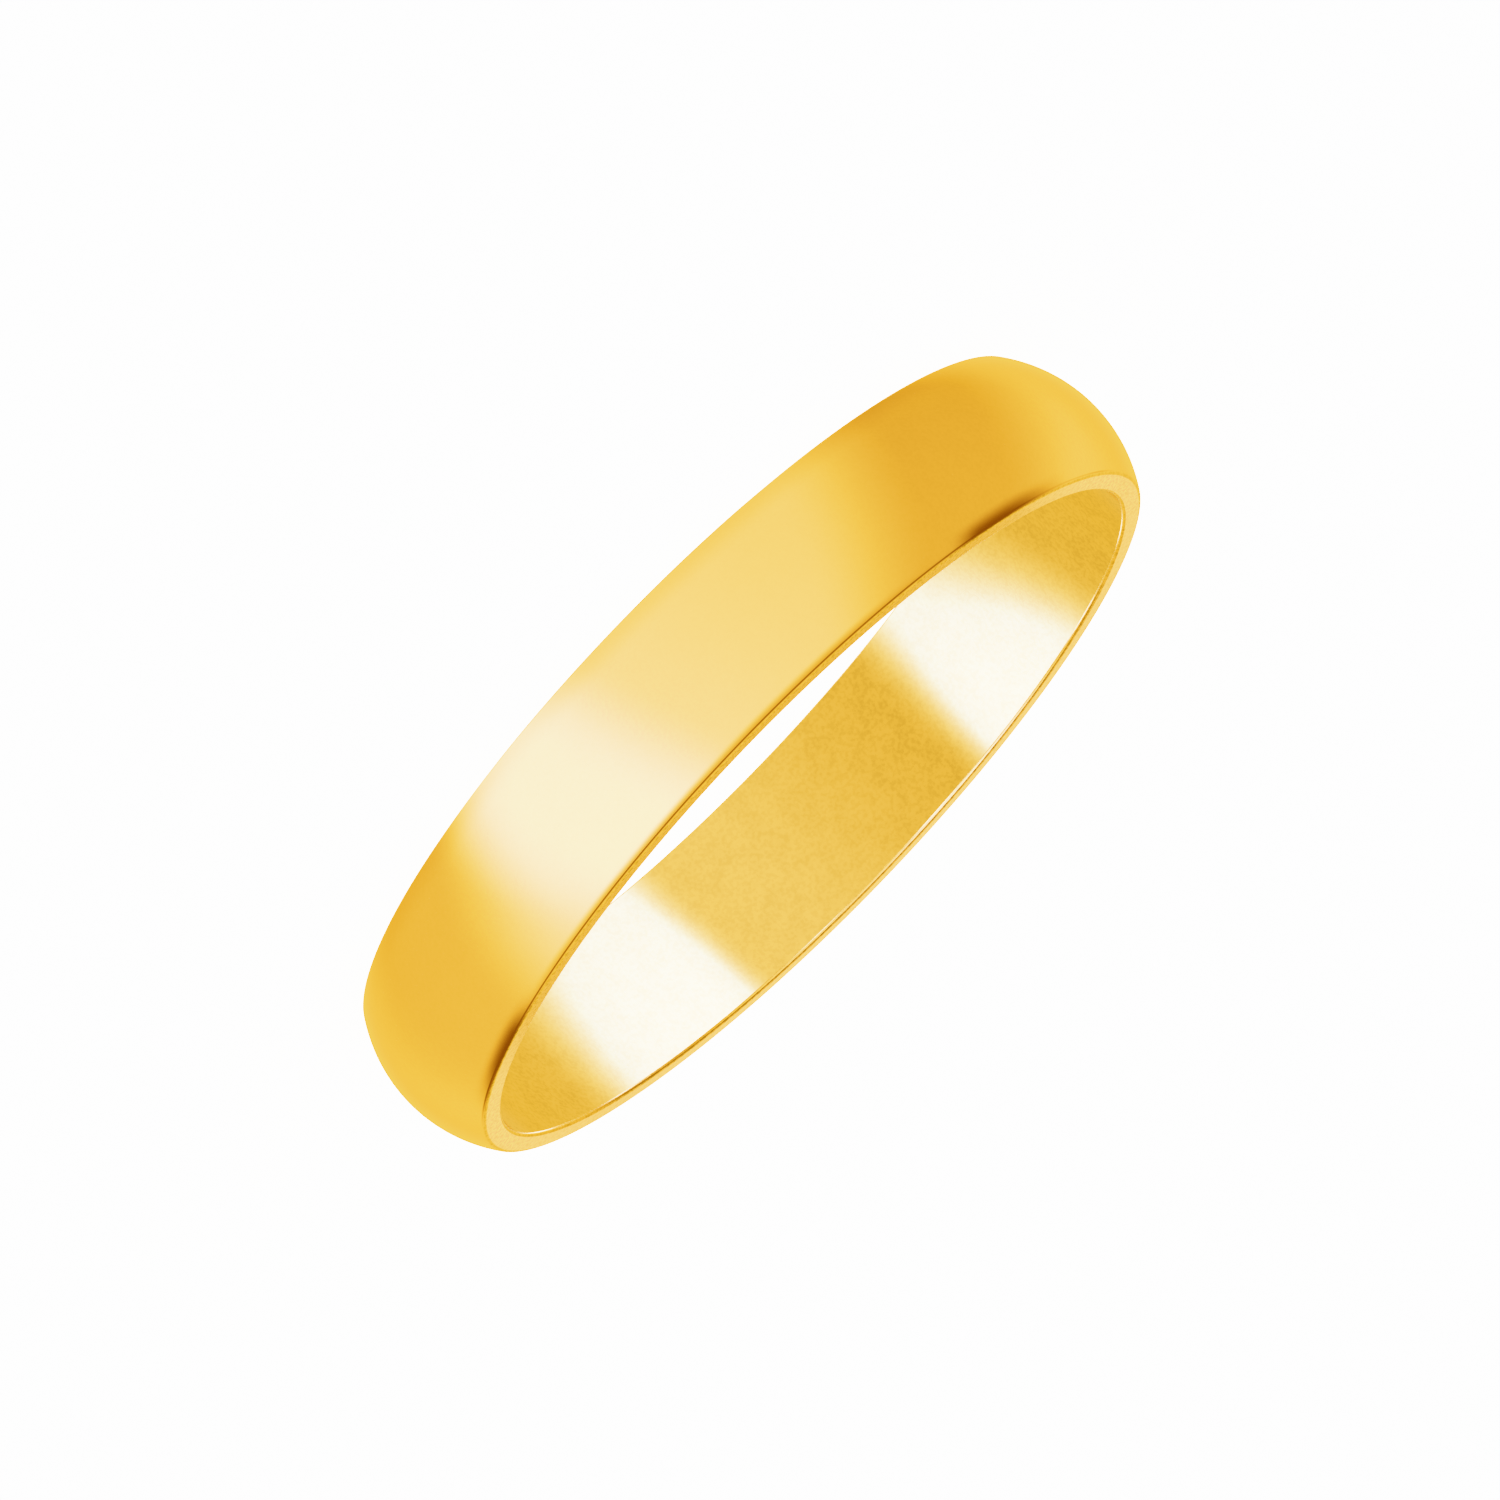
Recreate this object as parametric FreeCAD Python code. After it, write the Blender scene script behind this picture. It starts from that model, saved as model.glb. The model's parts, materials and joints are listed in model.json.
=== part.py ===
import FreeCAD, Part
import math
import os

# A plain wedding band: one seamless ring of gold with a D-shaped section.
# The bore is straight, the two side faces are narrow and flat, and the outside is a low dome.
# Frame, in millimetres: the bore's axis is +Z and the origin is on it, half way along the band's width.

# Driving dimensions
INSIDE_DIAMETER = 20.2      # US ring size 10 1/2
BAND_WIDTH = 4.0            # along the finger
BAND_THICKNESS = 1.2        # from the bore to the top of the dome
DOME_RADIUS = 3.5           # curve of the dome across the width
SHOULDER_RADIUS = 0.15      # soft corner between the dome and each side face
INNER_EDGE_RADIUS = 0.08    # softened edge between each side face and the bore

# Worked out from them
BORE_RADIUS = INSIDE_DIAMETER / 2
HALF_WIDTH = BAND_WIDTH / 2
CROWN_RADIUS = BORE_RADIUS + BAND_THICKNESS


def section_point(radius, height):
    """A point of the section, which is drawn in the XZ half-plane."""
    return FreeCAD.Vector(radius, 0, height)


def shoulder_centre():
    """Centre of the upper shoulder's arc, which touches the dome's arc and the side face."""
    dome_centre = CROWN_RADIUS - DOME_RADIUS
    height = HALF_WIDTH - SHOULDER_RADIUS
    reach = math.sqrt((DOME_RADIUS - SHOULDER_RADIUS) ** 2 - height ** 2)
    return dome_centre + reach, height


def dome_end():
    """Where the dome's arc runs smoothly into the upper shoulder."""
    dome_centre = CROWN_RADIUS - DOME_RADIUS
    radius, height = shoulder_centre()
    stretch = DOME_RADIUS / (DOME_RADIUS - SHOULDER_RADIUS)
    return dome_centre + (radius - dome_centre) * stretch, height * stretch


def shoulder_middle():
    """The point half way round the upper shoulder's arc."""
    radius, height = shoulder_centre()
    end_radius, end_height = dome_end()
    end_angle = math.atan2(end_height - height, end_radius - radius)
    angle = (end_angle + math.pi / 2) / 2
    return radius + SHOULDER_RADIUS * math.cos(angle), height + SHOULDER_RADIUS * math.sin(angle)


def inner_edge_points():
    """Start, middle and end of the upper softened edge, from the side face round to the bore."""
    centre_radius = BORE_RADIUS + INNER_EDGE_RADIUS
    centre_height = HALF_WIDTH - INNER_EDGE_RADIUS
    diagonal = INNER_EDGE_RADIUS * math.sqrt(0.5)
    start = (centre_radius, HALF_WIDTH)
    middle = (centre_radius - diagonal, centre_height + diagonal)
    end = (BORE_RADIUS, centre_height)
    return start, middle, end


def mirrored(point):
    """The same section point on the lower half of the band."""
    radius, height = point
    return radius, -height


def arc(start, middle, end):
    return Part.Arc(section_point(*start), section_point(*middle), section_point(*end)).toShape()


def line(start, end):
    return Part.LineSegment(section_point(*start), section_point(*end)).toShape()


def band_section():
    """The closed D-shaped outline, from the lower end of the dome round to the bore and back."""
    top_of_dome = (CROWN_RADIUS, 0)
    face_outer = (shoulder_centre()[0], HALF_WIDTH)
    edge_start, edge_middle, edge_end = inner_edge_points()
    edges = [
        arc(mirrored(dome_end()), top_of_dome, dome_end()),
        arc(dome_end(), shoulder_middle(), face_outer),
        line(face_outer, edge_start),
        arc(edge_start, edge_middle, edge_end),
        line(edge_end, mirrored(edge_end)),
        arc(mirrored(edge_end), mirrored(edge_middle), mirrored(edge_start)),
        line(mirrored(edge_start), mirrored(face_outer)),
        arc(mirrored(face_outer), mirrored(shoulder_middle()), mirrored(dome_end())),
    ]
    return Part.Face(Part.Wire(edges))


def make_band():
    """The section swept once round the finger's axis, which leaves no seam in the metal."""
    axis = FreeCAD.Vector(0, 0, 1)
    return band_section().revolve(FreeCAD.Vector(0, 0, 0), axis, 360)


def main():
    band = make_band()
    os.makedirs("parts", exist_ok=True)
    band.exportStep("parts/band.step")
    flat_inner = BORE_RADIUS + INNER_EDGE_RADIUS
    flat_outer = shoulder_centre()[0]
    print(f"valid {band.isValid()}, solids {len(band.Solids)}, volume {band.Volume:.2f} mm3")
    print(f"flat side face from radius {flat_inner:.3f} to {flat_outer:.3f} mm")


main()
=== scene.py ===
import bpy
import json
import math
from mathutils import Matrix, Vector


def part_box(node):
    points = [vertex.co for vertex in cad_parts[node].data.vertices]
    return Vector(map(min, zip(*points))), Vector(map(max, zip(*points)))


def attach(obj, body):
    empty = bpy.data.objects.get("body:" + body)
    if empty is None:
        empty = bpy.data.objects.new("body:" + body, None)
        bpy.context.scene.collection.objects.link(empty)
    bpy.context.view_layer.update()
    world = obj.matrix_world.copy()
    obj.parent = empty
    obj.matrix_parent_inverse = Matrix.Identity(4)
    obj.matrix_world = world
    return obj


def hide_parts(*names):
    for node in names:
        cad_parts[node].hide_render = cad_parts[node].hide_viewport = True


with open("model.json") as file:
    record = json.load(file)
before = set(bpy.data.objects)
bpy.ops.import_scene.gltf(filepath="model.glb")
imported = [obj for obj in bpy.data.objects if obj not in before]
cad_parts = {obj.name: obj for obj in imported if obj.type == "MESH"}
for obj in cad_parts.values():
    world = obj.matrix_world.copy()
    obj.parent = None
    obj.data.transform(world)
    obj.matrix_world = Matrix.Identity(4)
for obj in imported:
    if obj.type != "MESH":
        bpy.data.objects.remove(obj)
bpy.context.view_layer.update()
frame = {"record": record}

MM = 0.001
NODE = "band"
BODY = "root"

# The band's section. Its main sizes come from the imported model, and the curves are repeated here.
LOW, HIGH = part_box(NODE)
BORE_MOUNT = next(m for m in frame["record"]["mounts"] if m["name"] == "finger_bore")
BORE_RADIUS = BORE_MOUNT["dims"]["r_mm"] * MM
HALF_WIDTH = HIGH.z
CROWN_RADIUS = HIGH.x
INNER_EDGE_RADIUS = HALF_WIDTH - BORE_MOUNT["dims"]["length_mm"] * MM / 2
DOME_RADIUS = 3.5 * MM
SHOULDER_RADIUS = 0.15 * MM

# How finely the mesh follows it
TURN_STEPS = 720
DOME_STEPS = 40
SHOULDER_STEPS = 8
EDGE_STEPS = 6
BORE_STEPS = 6
FACE_STEPS = 3

# The view: a long lens a little above the band's level, turned so that the band runs up to the right
VIEW_ELEVATION = 12.55
VIEW_ROLL = 226.1
VIEW_DISTANCE = 395 * MM
PICTURE_WIDTH = 34.64 * MM
SENSOR_WIDTH = 36.0
NEAR_LIMIT = 0.01
FAR_LIMIT = 5.0
RIGHT_OF_CENTRE = 0.083 * MM
ABOVE_CENTRE = -0.133 * MM

# Gold: its colour face on and towards grazing, and the darker colour painted into the grain's pits as
# shade, which the soft patches also lean to
GOLD_COLOUR = (1.0, 0.75, 0.3, 1.0)
EDGE_COLOUR = (1.0, 0.9, 0.6, 1.0)
# This darker colour is painted shade for the pits, and the tone the soft patches lean to
PIT_SHADE_AND_PATCH_COLOUR = (0.55, 0.35, 0.1, 1.0)

# How rough the gold is, how much its grain stands out and how deep the painted shade in the pits is, each
# of them on the dome, in the bore and on the side faces
ROUGHNESS = (0.07, 0.16, 0.24)
GRAIN = (0.02, 0.3, 1.0)
PAINTED_PIT_SHADE = (0.04, 0.2, 0.6)

# How dark the soft patches are outside and in the bore, and how much the roughness varies
PATCH_DARKNESS = (0.02, 0.11)
ROUGHNESS_CHANGE = 0.05

# How far out from the bore, and in from the side faces, their finish starts to give way and where it ends
BORE_FINISH = (0.02 * MM, 0.06 * MM)
SIDE_FINISH = (0.01 * MM, 0.04 * MM)

# The size and depth of the relief
GRAIN_SIZE = 0.1 * MM
GRAIN_DEPTH = 0.003 * MM
WAVE_SIZE = 1.8 * MM
WAVE_DEPTH = 0.004 * MM
HAIR_SIZE = 0.05 * MM
HAIR_DEPTH = 0.00005 * MM
HAIR_STRETCH = 0.01
MOTTLE_SIZE = 0.5 * MM

# The studio's light: its shares of red, green and blue where it is bright, and the power that keeps
# red up where it is dim
RED_SHARE = 0.62
GREEN_SHARE = 0.8
BLUE_SHARE = 0.3
AMBER_POWER = 0.62

# What the floor gets and what the camera sees behind the band, in the same units of light
FLOOR_LIGHT = 2.0
BACKGROUND = 6.0
FLOOR_ALBEDO = 0.25
FLOOR_SIZE = 3.0

# The lit drum in the hole, which stops just short of the bore and of its upper edge. Its left strip leans
# by so many degrees for each unit of height.
CORE_RADIUS = BORE_RADIUS - 0.04 * MM
CORE_BOTTOM = -HALF_WIDTH - 1 * MM
CORE_TOP = HALF_WIDTH - 0.1 * MM
CORE_STEPS = 180
CORE_LEAN = -1.5 / MM

# The dim card behind the band
FLAG_PLACE = 16 * MM
FLAG_HALF_WIDTH = 10 * MM
FLAG_BOTTOM = 4.8 * MM
FLAG_TOP = 25 * MM
FLAG_FADE = 1.5 * MM
FLAG_COLOUR = (0.97, 0.76, 0.28, 1.0)


# ---- the band ----

def arc_points(centre_r, centre_z, radius, start, end, steps):
    """Points round an arc of the section, each with the direction that the surface faces there."""
    points = []
    for i in range(steps + 1):
        angle = start + (end - start) * i / steps
        facing = (math.cos(angle), math.sin(angle))
        points.append((centre_r + radius * facing[0], centre_z + radius * facing[1], facing))
    return points


def line_points(start, end, facing, steps):
    """Points inside a straight stretch of the section, without its ends."""
    points = []
    for i in range(1, steps):
        share = i / steps
        r = start[0] + (end[0] - start[0]) * share
        z = start[1] + (end[1] - start[1]) * share
        points.append((r, z, facing))
    return points


def mirrored(points):
    """The same stretch on the lower half of the band, run the other way."""
    return [(r, -z, (facing[0], -facing[1])) for r, z, facing in reversed(points)]


def band_section():
    """The closed section: dome, shoulder, side face, inner edge, bore, and back."""
    dome_centre = CROWN_RADIUS - DOME_RADIUS
    shoulder_z = HALF_WIDTH - SHOULDER_RADIUS
    shoulder_r = dome_centre + math.sqrt((DOME_RADIUS - SHOULDER_RADIUS) ** 2 - shoulder_z ** 2)
    dome_end = math.atan2(shoulder_z, shoulder_r - dome_centre)
    quarter = math.pi / 2
    dome = arc_points(dome_centre, 0, DOME_RADIUS, -dome_end, dome_end, DOME_STEPS)
    shoulder = arc_points(shoulder_r, shoulder_z, SHOULDER_RADIUS, dome_end, quarter, SHOULDER_STEPS)
    edge = arc_points(BORE_RADIUS + INNER_EDGE_RADIUS, HALF_WIDTH - INNER_EDGE_RADIUS,
                      INNER_EDGE_RADIUS, quarter, 2 * quarter, EDGE_STEPS)
    face = line_points(shoulder[-1], edge[0], (0, 1), FACE_STEPS)
    bore = line_points((BORE_RADIUS, edge[-1][1]), (BORE_RADIUS, -edge[-1][1]), (-1, 0), BORE_STEPS)
    upper = shoulder[1:] + face + edge
    return dome + upper + bore + mirrored(upper)


def new_object(name, vertices, faces):
    """A mesh object in the scene."""
    mesh = bpy.data.meshes.new(name)
    mesh.from_pydata(vertices, [], faces)
    thing = bpy.data.objects.new(name, mesh)
    bpy.context.scene.collection.objects.link(thing)
    return thing


def make_band():
    """The section turned once round the axis, with the true surface direction at every corner."""
    section = band_section()
    count = len(section)
    vertices, normals, faces = [], [], []
    for turn in range(TURN_STEPS):
        angle = 2 * math.pi * turn / TURN_STEPS
        cos, sin = math.cos(angle), math.sin(angle)
        for r, z, facing in section:
            vertices.append((r * cos, r * sin, z))
            normals.append((facing[0] * cos, facing[0] * sin, facing[1]))
    for turn in range(TURN_STEPS):
        here = turn * count
        there = (turn + 1) % TURN_STEPS * count
        for i in range(count):
            j = (i + 1) % count
            faces.append((here + i, there + i, there + j, here + j))
    band = new_object("band_polished", vertices, faces)
    band.data.shade_smooth()
    band.data.normals_split_custom_set_from_vertices(normals)
    return band


# ---- node trees ----

class Graph:
    """The node tree of one material or of the world. A value is a number or another node's output."""

    def __init__(self, tree):
        self.nodes, self.links = tree.nodes, tree.links

    def put(self, value, socket):
        if isinstance(value, (int, float)):
            socket.default_value = value
        else:
            self.links.new(value, socket)

    def calculate(self, operation, first, second=0.0):
        step = self.nodes.new("ShaderNodeMath")
        step.operation = operation
        self.put(first, step.inputs[0])
        self.put(second, step.inputs[1])
        return step.outputs[0]

    def product(self, value, *others):
        for other in others:
            value = self.calculate("MULTIPLY", value, other)
        return value

    def total(self, value, *others):
        for other in others:
            value = self.calculate("ADD", value, other)
        return value

    def difference(self, value, other):
        return self.calculate("SUBTRACT", value, other)

    def degrees(self, value):
        return self.product(value, math.degrees(1))

    def ramp(self, value, start, end, low=0.0, high=1.0):
        """A smooth change from low at start to high at end."""
        step = self.nodes.new("ShaderNodeMapRange")
        step.interpolation_type = "SMOOTHSTEP"
        settings = (("From Min", start), ("From Max", end), ("To Min", low), ("To Max", high))
        self.put(value, step.inputs["Value"])
        for name, number in settings:
            step.inputs[name].default_value = number
        return step.outputs["Result"]

    def window(self, value, low, high, soft):
        """1 from low to high, and smoothly down to 0 over soft on either side."""
        distance = self.calculate("ABSOLUTE", self.difference(value, (low + high) / 2))
        half = (high - low) / 2
        return self.ramp(distance, half, half + soft, 1.0, 0.0)

    def blend(self, amount, first, second):
        """first where amount is 0 and second where it is 1."""
        step = self.nodes.new("ShaderNodeMix")
        factor, _, a, b = step.inputs[:4]
        self.put(amount, factor)
        self.put(first, a)
        self.put(second, b)
        return step.outputs[0]

    def blend_colour(self, amount, first, second):
        """The same for colours. Each is a node's output or four numbers."""
        step = self.nodes.new("ShaderNodeMix")
        step.data_type = "RGBA"
        step.clamp_result = False
        self.put(amount, step.inputs["Factor"])
        for name, colour in (("A", first), ("B", second)):
            if isinstance(colour, tuple):
                step.inputs[name].default_value = colour
            else:
                self.links.new(colour, step.inputs[name])
        return step.outputs["Result"]

    def noise(self, place, size, detail):
        """Noise whose features are about size long, from 0 to 1."""
        step = self.nodes.new("ShaderNodeTexNoise")
        self.put(place, step.inputs["Vector"])
        step.inputs["Scale"].default_value = 1 / size
        step.inputs["Detail"].default_value = detail
        return step.outputs["Fac"]

    def coordinates(self, kind):
        return self.nodes.new("ShaderNodeTexCoord").outputs[kind]

    def parts(self, vector):
        """The X, Y and Z of a vector."""
        step = self.nodes.new("ShaderNodeSeparateXYZ")
        self.put(vector, step.inputs[0])
        return step.outputs

    def vector(self, x, y, z):
        step = self.nodes.new("ShaderNodeCombineXYZ")
        for value, socket in zip((x, y, z), step.inputs):
            self.put(value, socket)
        return step.outputs[0]

    def colour_parts(self, colour):
        """The red, green and blue of a colour."""
        step = self.nodes.new("ShaderNodeSeparateColor")
        self.put(colour, step.inputs[0])
        return step.outputs

    def colour(self, red, green, blue):
        step = self.nodes.new("ShaderNodeCombineColor")
        for value, socket in zip((red, green, blue), step.inputs):
            self.put(value, socket)
        return step.outputs[0]


def new_material(name):
    material = bpy.data.materials.new(name)
    material.use_nodes = True
    return material, Graph(material.node_tree)


# ---- gold ----

def by_surface(graph, where, values):
    """The value for the dome, the bore or a side face, with a soft change from one to the next."""
    inside, side = where
    dome_value, bore_value, side_value = values
    return graph.blend(side, graph.blend(inside, dome_value, bore_value), side_value)


def gold_relief(graph, place, radius, grain, waves, where):
    """Fine grain, soft waves left by the buffing wheel, and hairlines that run round the band."""
    x, y, z = graph.parts(place)
    across = graph.total(z, radius)
    stretched = graph.vector(graph.product(x, HAIR_STRETCH), graph.product(y, HAIR_STRETCH), across)
    hair_relief = graph.product(graph.noise(stretched, HAIR_SIZE, 2.0), HAIR_DEPTH)
    grain_relief = graph.product(grain, by_surface(graph, where, GRAIN), GRAIN_DEPTH)
    relief = graph.total(grain_relief, graph.product(waves, WAVE_DEPTH), hair_relief)
    bump = graph.nodes.new("ShaderNodeBump")
    bump.inputs["Distance"].default_value = 1.0
    graph.put(relief, bump.inputs["Height"])
    return bump.outputs[0]


def gold_colour(graph, place, grain, where):
    """Painted shade darkens the grain's pits a little, most of all on the side faces, and soft patches are
    a little darker too.
    """
    # Painted shade: the pits get a darker colour as if light fell less into them
    pit_shade = graph.product(graph.ramp(grain, 0.36, 0.6, 1.0, 0.0), by_surface(graph, where, PAINTED_PIT_SHADE))
    mottle = graph.ramp(graph.noise(place, MOTTLE_SIZE, 3.0), 0.38, 0.62)
    inside, side = where
    patches = graph.product(mottle, graph.blend(inside, *PATCH_DARKNESS))
    return graph.blend_colour(graph.total(pit_shade, patches), GOLD_COLOUR, PIT_SHADE_AND_PATCH_COLOUR)


def gold_roughness(graph, waves, where):
    change = graph.product(graph.difference(waves, 0.5), ROUGHNESS_CHANGE)
    return graph.total(by_surface(graph, where, ROUGHNESS), change)


def gold_material():
    """Gold with a mirror polish outside, a grainy satin on the side faces and a softer polish inside."""
    material, graph = new_material("gold")
    place = graph.coordinates("Object")
    x, y, z = graph.parts(place)
    radius = graph.calculate("SQRT", graph.total(graph.product(x, x), graph.product(y, y)))
    height = graph.calculate("ABSOLUTE", z)
    inside = graph.ramp(radius, BORE_RADIUS + BORE_FINISH[1], BORE_RADIUS + BORE_FINISH[0])
    side = graph.ramp(height, HALF_WIDTH - SIDE_FINISH[1], HALF_WIDTH - SIDE_FINISH[0])
    where = (inside, side)
    grain = graph.noise(place, GRAIN_SIZE, 3.0)
    waves = graph.noise(place, WAVE_SIZE, 1.0)

    shader = graph.nodes["Principled BSDF"]
    shader.inputs["Metallic"].default_value = 1.0
    shader.inputs["Specular Tint"].default_value = EDGE_COLOUR
    graph.put(gold_colour(graph, place, grain, where), shader.inputs["Base Color"])
    graph.put(gold_roughness(graph, waves, where), shader.inputs["Roughness"])
    graph.put(gold_relief(graph, place, radius, grain, waves, where), shader.inputs["Normal"])
    return material


# ---- the light tent ----

def camera_back():
    """The direction from the band to the camera."""
    elevation = math.radians(VIEW_ELEVATION)
    return Vector((0, -math.cos(elevation), math.sin(elevation)))


def facing_angles(graph, direction):
    """Turn and tilt, in degrees, of a surface that mirrors this direction to the camera, and how squarely.

    Turn is 0 for a surface that faces the camera's side and 90 for one that faces +X. The last value
    is 2 for a surface seen square on and 0 for one seen edge on.
    """
    added = graph.nodes.new("ShaderNodeVectorMath")
    added.operation = "ADD"
    graph.put(direction, added.inputs[0])
    added.inputs[1].default_value = camera_back()
    length = graph.nodes.new("ShaderNodeVectorMath")
    length.operation = "LENGTH"
    graph.put(added.outputs[0], length.inputs[0])
    unit = graph.nodes.new("ShaderNodeVectorMath")
    unit.operation = "NORMALIZE"
    graph.put(added.outputs[0], unit.inputs[0])
    x, y, z = graph.parts(unit.outputs[0])
    turn = graph.degrees(graph.calculate("ARCTAN2", x, graph.product(y, -1.0)))
    tilt = graph.degrees(graph.calculate("ARCSINE", z))
    return turn, tilt, length.outputs["Value"]


def slanted(graph, turn, tilt, slant):
    """Turn as seen by a panel that leans, by slant degrees of turn per degree of tilt."""
    return graph.total(turn, graph.product(tilt, slant))


def add_front_panels(graph, level, turn, tilt):
    """A broad fill in front, and a key panel near its right edge. Both stop short of the shoulder."""
    below_shoulder = graph.ramp(tilt, 33.5, 30.5)
    fill = graph.window(slanted(graph, turn, tilt, -0.16), -20, 25, 20)
    fill_strength = graph.ramp(turn, -25, 12, 0.8, 0.98)
    key = graph.window(slanted(graph, turn, tilt, 0.08), 16, 23, 14)
    level = graph.total(level, graph.product(fill, below_shoulder, fill_strength))
    return graph.total(level, graph.product(key, below_shoulder, 0.92))


def add_rear_panels(graph, level, turn, tilt):
    """A panel behind on either side, which brightens the two ends of the picture."""
    upper_part = graph.ramp(tilt, -34, -16, 0.2, 1.0)
    left = graph.window(slanted(graph, turn, tilt, -0.15), -200, -73, 20)
    right = graph.window(turn, 80, 200, 24)
    level = graph.total(level, graph.product(left, upper_part, 0.55))
    return graph.total(level, graph.product(right, upper_part, 0.35))


def add_roof_and_flags(graph, level, turn, tilt, rise):
    """A light roof with dark flags before it: a narrow one in front, and a broad one on either side."""
    high_up = graph.ramp(rise, 0.12, 0.4)
    thinner = graph.product(graph.window(turn, -68, -57, 7), 0.6)
    front = graph.product(graph.window(tilt, 36, 46, 3.5), high_up, graph.difference(0.85, thinner))
    left = graph.product(graph.ramp(turn, -65, -47), graph.ramp(turn, -37, -43))
    right = graph.product(graph.ramp(turn, 43, 52), graph.ramp(turn, 82, 58))
    side_height = graph.product(graph.ramp(tilt, 27.5, 33.5), graph.ramp(tilt, 76, 58))
    sides = graph.product(graph.total(left, right), side_height, high_up)
    level = graph.blend(front, level, 0.15)
    level = graph.blend(graph.ramp(tilt, 50, 58), level, 1.2)
    return graph.blend(sides, level, 0.14)


def tent_level(graph, turn, tilt, squareness, rise):
    """How bright the tent looks in the polished gold. Each panel is placed by the surface that shows it."""
    across = graph.ramp(turn, -30, 30, 0.78, 0.98)
    level = graph.total(across, graph.product(graph.ramp(tilt, -20, 30), 0.05))
    level = add_front_panels(graph, level, turn, tilt)
    level = add_rear_panels(graph, level, turn, tilt)

    # Darker towards the dome's lower edge, and plain light from far below
    level = graph.product(level, graph.ramp(tilt, -34, -22, 0.88, 1.0))
    level = graph.blend(graph.ramp(tilt, -45, -60), level, 1.1)
    level = add_roof_and_flags(graph, level, turn, tilt, rise)

    # Even light straight behind the band, and a bright patch above it for the side face
    level = graph.blend(graph.ramp(squareness, 0.85, 0.4), level, 1.2)
    level = graph.blend(graph.ramp(tilt, 80, 87), level, 1.9)
    return graph.product(level, graph.ramp(squareness, 0, 0.25, 0.85, 1.0))


def light_colour(graph, level, cool_from, cool_to, coolness, red=1.0):
    """Amber where the studio is dim, and white from the bright panels, which then show as pale gold."""
    amber = graph.product(graph.calculate("POWER", level, AMBER_POWER), red)
    white = graph.product(level, RED_SHARE)
    blue = graph.product(level, graph.ramp(level, cool_from, cool_to, BLUE_SHARE, BLUE_SHARE * coolness))
    return graph.colour(graph.calculate("MAXIMUM", amber, white), graph.product(level, GREEN_SHARE), blue)


def deepen(graph, colour, squareness, least_green, least_blue):
    """A deeper gold light where it meets the metal edge on, so that the outline isn't bleached."""
    red, green, blue = graph.colour_parts(colour)
    green = graph.product(green, graph.ramp(squareness, 0, 0.3, least_green, 1.0))
    blue = graph.product(blue, graph.ramp(squareness, 0, 0.4, least_blue, 1.0))
    return graph.colour(red, green, blue)


def make_tent():
    """A light tent round the band. The floor gets an even light, and the metal sees soft panels."""
    world = bpy.data.worlds.new("tent")
    bpy.context.scene.world = world
    world.use_nodes = True
    world.cycles.sampling_method = "NONE"
    graph = Graph(world.node_tree)
    direction = graph.coordinates("Generated")
    turn, tilt, squareness = facing_angles(graph, direction)
    level = tent_level(graph, turn, tilt, squareness, graph.parts(direction)[2])
    colour = light_colour(graph, level, 1.1, 2.8, 4.6)
    colour = deepen(graph, colour, squareness, 0.86, 0.45)
    path = graph.nodes.new("ShaderNodeLightPath").outputs
    colour = graph.blend_colour(path["Is Diffuse Ray"], colour, (FLOOR_LIGHT, FLOOR_LIGHT, FLOOR_LIGHT, 1))
    colour = graph.blend_colour(path["Is Camera Ray"], colour, (BACKGROUND, BACKGROUND, BACKGROUND, 1))
    graph.put(colour, graph.nodes["Background"].inputs["Color"])


# ---- lights that only the metal sees ----

def glow_material(name):
    """An even light. Its Emission node and its own X, Y and Z are returned to be wired up."""
    material, graph = new_material(name)
    graph.nodes.remove(graph.nodes["Principled BSDF"])
    glow = graph.nodes.new("ShaderNodeEmission")
    graph.put(glow.outputs[0], graph.nodes["Material Output"].inputs["Surface"])
    material.cycles.emission_sampling = "NONE"
    return material, graph, glow, graph.parts(graph.coordinates("Object"))


def seen_only_in_metal(thing):
    thing.visible_camera = False
    thing.visible_diffuse = False
    thing.visible_shadow = False


def core_level(graph, angle, z):
    """How bright the drum is: even at the back, with a bright strip on either side.

    Angle is in degrees, from 0 at +X.
    """
    upward = graph.ramp(z, LOW.z, HIGH.z, 0.55, 1.2)
    level = graph.ramp(angle, 108, 76, 0.93, 1.3)
    level = graph.difference(level, graph.ramp(angle, 60, 30, 0.0, 0.33))
    right = graph.product(graph.ramp(angle, 27, 56), graph.ramp(angle, 72, 61))
    level = graph.total(level, graph.product(graph.product(right, right), upward, 5.0))
    leaning = graph.total(angle, graph.product(z, CORE_LEAN))
    left = graph.product(graph.ramp(leaning, 150, 119), graph.ramp(angle, 106, 119))
    return graph.total(level, graph.product(graph.product(left, left), upward, 4.5))


def core_material():
    material, graph, glow, (x, y, z) = glow_material("core")
    depth = graph.calculate("ABSOLUTE", y)
    angle = graph.degrees(graph.calculate("ARCTAN2", depth, x))
    colour = light_colour(graph, core_level(graph, angle, z), 0.65, 3.4, 5.9, 0.95)
    squareness = graph.product(depth, 2 / CORE_RADIUS)
    graph.put(deepen(graph, colour, squareness, 0.85, 0.5), glow.inputs["Color"])
    return material


def make_core():
    """A lit drum inside the hole, seen only in the bore."""
    vertices, faces = [], []
    for i in range(CORE_STEPS):
        angle = 2 * math.pi * i / CORE_STEPS
        for z in (CORE_BOTTOM, CORE_TOP):
            vertices.append((CORE_RADIUS * math.cos(angle), CORE_RADIUS * math.sin(angle), z))
    for i in range(CORE_STEPS):
        j = (i + 1) % CORE_STEPS
        faces.append((2 * i, 2 * j, 2 * j + 1, 2 * i + 1))
    core = new_object("core", vertices, faces)
    core.data.materials.append(core_material())
    seen_only_in_metal(core)


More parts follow.
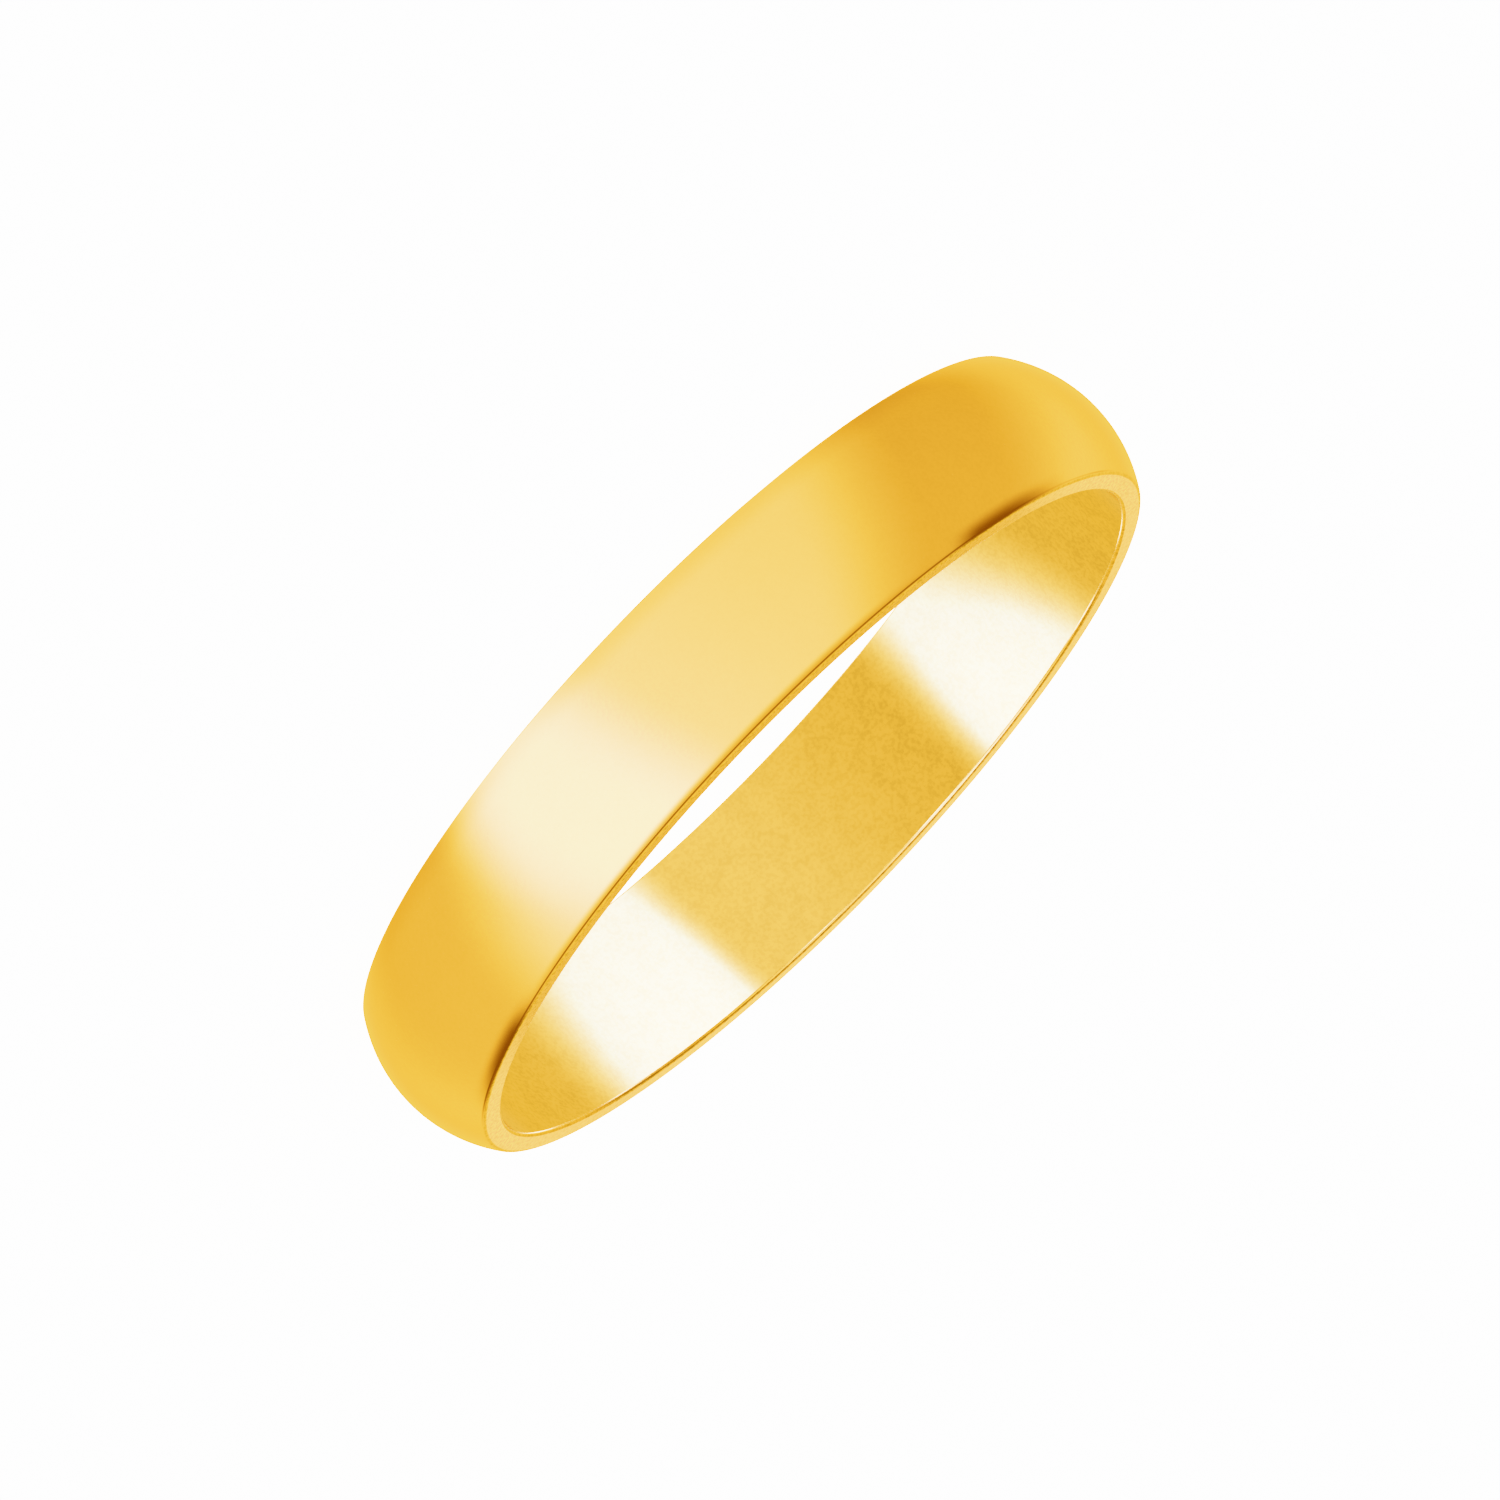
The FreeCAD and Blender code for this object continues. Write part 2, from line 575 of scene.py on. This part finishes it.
def flag_material():
    """A dim gold light that fades out at the card's sides and bottom."""
    material, graph, glow, (x, y, z) = glow_material("rear_flag")
    glow.inputs["Color"].default_value = FLAG_COLOUR
    middle = graph.window(x, -0.8 * FLAG_HALF_WIDTH, 0.8 * FLAG_HALF_WIDTH, 0.2 * FLAG_HALF_WIDTH)
    upper = graph.ramp(z, FLAG_BOTTOM, FLAG_BOTTOM + FLAG_FADE)
    clear = graph.nodes.new("ShaderNodeBsdfTransparent")
    mixed = graph.nodes.new("ShaderNodeMixShader")
    strength = graph.product(middle, upper)
    for value, socket in zip((strength, clear.outputs[0], glow.outputs[0]), mixed.inputs):
        graph.put(value, socket)
    graph.put(mixed.outputs[0], graph.nodes["Material Output"].inputs["Surface"])
    return material


def make_rear_flag():
    """A dim card behind the band, seen only in the side face nearest the camera."""
    left, right = -FLAG_HALF_WIDTH, FLAG_HALF_WIDTH
    corners = [(left, FLAG_PLACE, FLAG_BOTTOM), (right, FLAG_PLACE, FLAG_BOTTOM),
               (right, FLAG_PLACE, FLAG_TOP), (left, FLAG_PLACE, FLAG_TOP)]
    flag = new_object("rear_flag", corners, [(0, 1, 2, 3)])
    flag.data.materials.append(flag_material())
    seen_only_in_metal(flag)


# ---- floor and camera ----

def floor_material():
    """A plain matt surface with a light of its own, so that it meets the background without a line."""
    material, graph = new_material("floor")
    settings = (("Base Color", (FLOOR_ALBEDO, FLOOR_ALBEDO, FLOOR_ALBEDO, 1)),
                ("Roughness", 1.0),
                ("Specular IOR Level", 0.0),
                ("Emission Color", (1, 1, 1, 1)),
                ("Emission Strength", BACKGROUND - FLOOR_ALBEDO * FLOOR_LIGHT))
    for name, value in settings:
        graph.nodes["Principled BSDF"].inputs[name].default_value = value
    material.cycles.emission_sampling = "NONE"
    return material


def make_floor():
    half, z = FLOOR_SIZE / 2, LOW.z
    corners = [(-half, -half, z), (half, -half, z), (half, half, z), (-half, half, z)]
    floor = new_object("floor", corners, [(0, 1, 2, 3)])
    floor.data.materials.append(floor_material())
    floor.visible_glossy = False


def make_camera():
    camera = bpy.data.cameras.new("camera")
    camera.sensor_width = SENSOR_WIDTH
    camera.lens = SENSOR_WIDTH * VIEW_DISTANCE / PICTURE_WIDTH
    camera.clip_start = NEAR_LIMIT
    camera.clip_end = FAR_LIMIT
    eye = bpy.data.objects.new("camera", camera)
    bpy.context.scene.collection.objects.link(eye)
    elevation, roll = math.radians(VIEW_ELEVATION), math.radians(VIEW_ROLL)
    sideways = Vector((1, 0, 0))
    rising = Vector((0, math.sin(elevation), math.cos(elevation)))
    back = camera_back()
    picture_right = sideways * math.cos(roll) - rising * math.sin(roll)
    picture_up = sideways * math.sin(roll) + rising * math.cos(roll)
    turn = Matrix((picture_right, picture_up, back)).transposed()
    place = back * VIEW_DISTANCE - picture_right * RIGHT_OF_CENTRE - picture_up * ABOVE_CENTRE
    eye.matrix_world = Matrix.Translation(place) @ turn.to_4x4()
    bpy.context.scene.camera = eye


band = make_band()
band.data.materials.append(gold_material())
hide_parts(NODE)
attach(band, BODY)
make_camera()
make_tent()
make_core()
make_rear_flag()
make_floor()
bpy.context.scene.view_settings.view_transform = "Khronos PBR Neutral"
